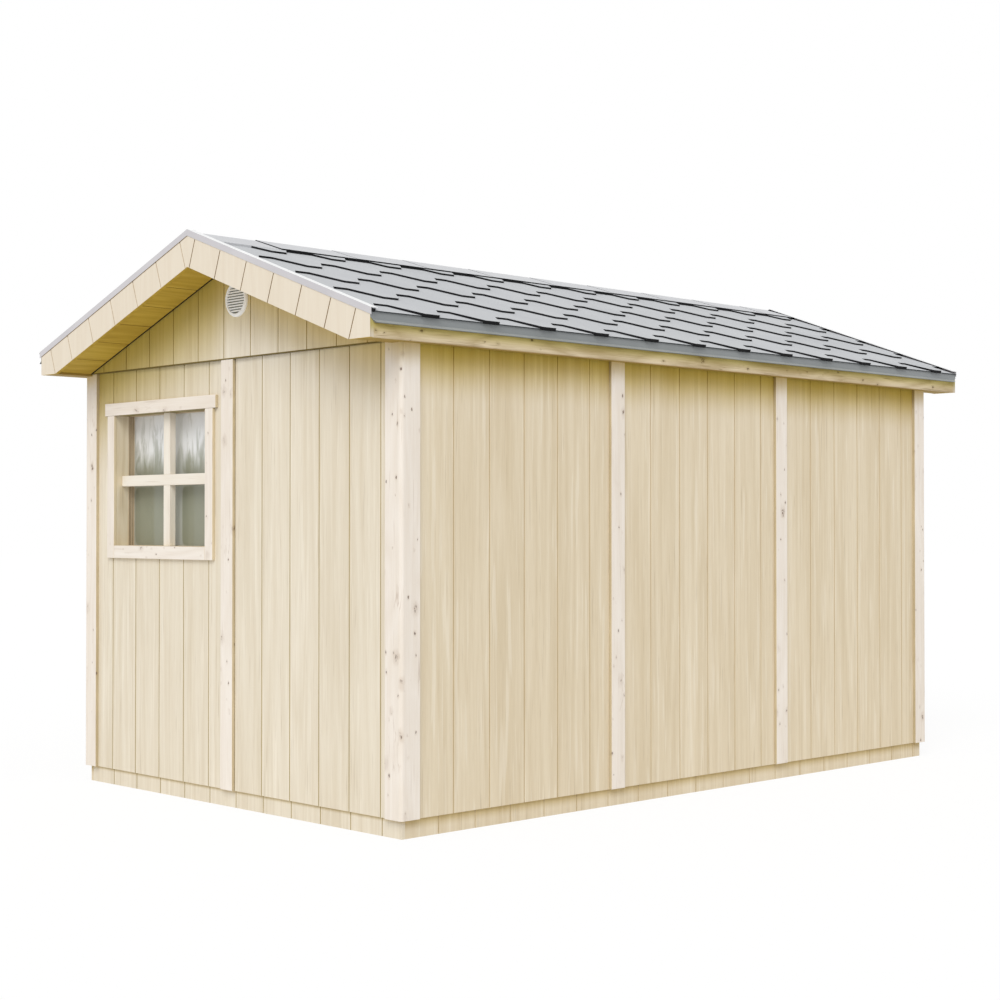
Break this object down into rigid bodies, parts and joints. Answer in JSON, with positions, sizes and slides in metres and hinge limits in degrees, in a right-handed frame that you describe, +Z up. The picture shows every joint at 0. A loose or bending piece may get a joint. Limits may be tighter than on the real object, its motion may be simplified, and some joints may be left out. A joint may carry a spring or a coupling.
{
  "type": "garden shed",
  "caption": "Timber garden shed with a shallow gable roof of hexagonal felt shingles, grooved sheet walls with battens and corner trims, a cross-barred gable window and a round vent.",
  "frame": {"origin": "middle of the base, at ground level", "axes": "+X along the ridge away from the window gable, +Y across to the door side, +Z up"},
  "size_m": [4.184, 2.492, 2.5329],
  "materials": {
    "sheet": "grooved softwood sheet, fine upright grain",
    "trim": "planed softwood with small knots",
    "window_timber": "planed softwood",
    "verge_board": "grooved softwood strip",
    "fascia_board": "planed softwood with small knots",
    "framing": "sawn softwood",
    "decking": "sheet wood",
    "roofing": "mineral-faced bitumen felt",
    "eave_metal": "satin grey",
    "verge_metal": "satin light grey",
    "vent_white": "white moulded",
    "glass": "clear float glass"
  },
  "bodies": {
    "root": {"near_side_panel_1": "sheet", "near_side_panel_2": "sheet", "near_side_panel_3": "sheet", "far_side_panels": "sheet", "door_head_panel": "sheet", "door_leaf_left": "sheet", "door_leaf_right": "sheet", "window_panel": "sheet", "window_gable_plain_panel": "sheet", "far_gable_panels": "sheet", "window_gable_upper_panel": "sheet", "far_gable_upper_panel": "sheet", "side_plinths": "sheet", "gable_plinths": "sheet", "near_corner_trims": "trim", "far_corner_trims": "trim", "near_side_battens": "trim", "far_side_battens": "trim", "window_gable_batten": "trim", "far_gable_batten": "trim", "window_casing": "trim", "window_frame": "window_timber", "window_gable_near_barge_board": "verge_board", "window_gable_far_barge_board": "verge_board", "far_gable_near_barge_board": "verge_board", "far_gable_far_barge_board": "verge_board", "near_soffits": "verge_board", "far_soffits": "verge_board", "near_eave_fascia": "fascia_board", "far_eave_fascia": "fascia_board", "near_side_frame": "framing", "far_side_frame": "framing", "window_gable_frame": "framing", "far_gable_frame": "framing", "near_rafters": "framing", "far_rafters": "framing", "ridge_board": "framing", "floor_bearers": "framing", "floor_deck": "decking", "near_roof_deck": "decking", "far_roof_deck": "decking", "near_roofing": "roofing", "far_roofing": "roofing", "ridge_cap": "roofing", "near_eave_flashing": "eave_metal", "far_eave_flashing": "eave_metal", "near_rake_flashings": "verge_metal", "far_rake_flashings": "verge_metal", "window_gable_vent": "vent_white", "far_gable_vent": "vent_white", "window_glass": "glass"}
  },
  "joints": []
}
